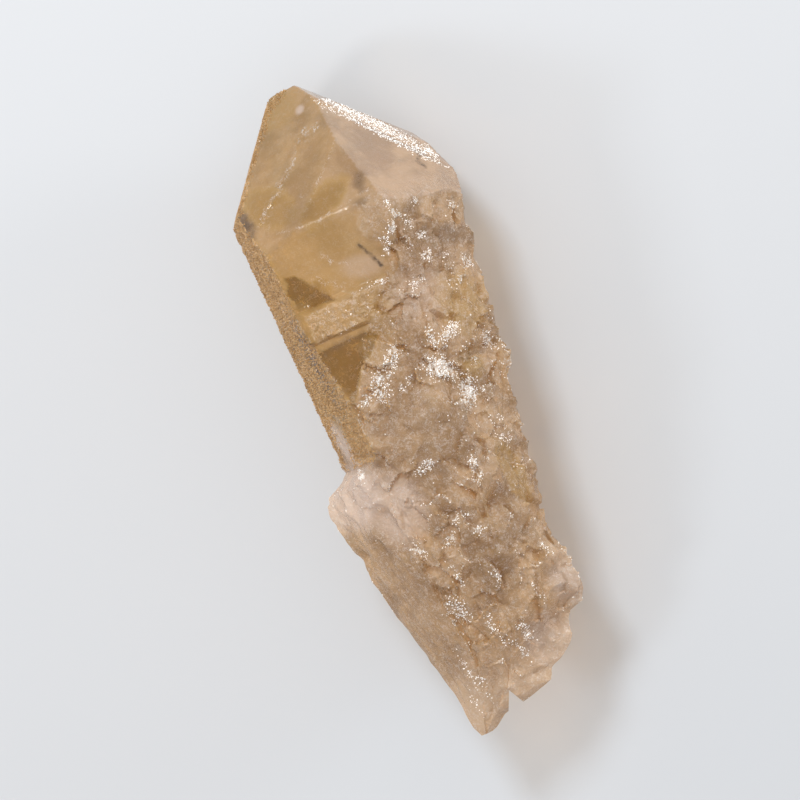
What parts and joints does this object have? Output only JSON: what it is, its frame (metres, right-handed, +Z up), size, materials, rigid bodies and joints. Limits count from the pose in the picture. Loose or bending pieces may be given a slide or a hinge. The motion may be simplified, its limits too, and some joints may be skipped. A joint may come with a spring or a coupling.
{
  "type": "quartz crystal point",
  "caption": "Natural golden quartz crystal point lying on a prism face: pointed end, stepped front face, etched right side and a broken, ribbed root.",
  "frame": {"origin": "middle of the outline seen from above, at the height of the surface that the crystal lies on", "axes": "+Y along the crystal's long axis towards the point, +Z up out of the rest face towards the stepped front face, +X to the etched side"},
  "size_m": [0.0676, 0.1748, 0.0532],
  "materials": {
    "citrine": "clear to milky golden quartz, glossy on sound faces and frosted where etched"
  },
  "bodies": {
    "root": {"crystal": "citrine"}
  },
  "joints": []
}
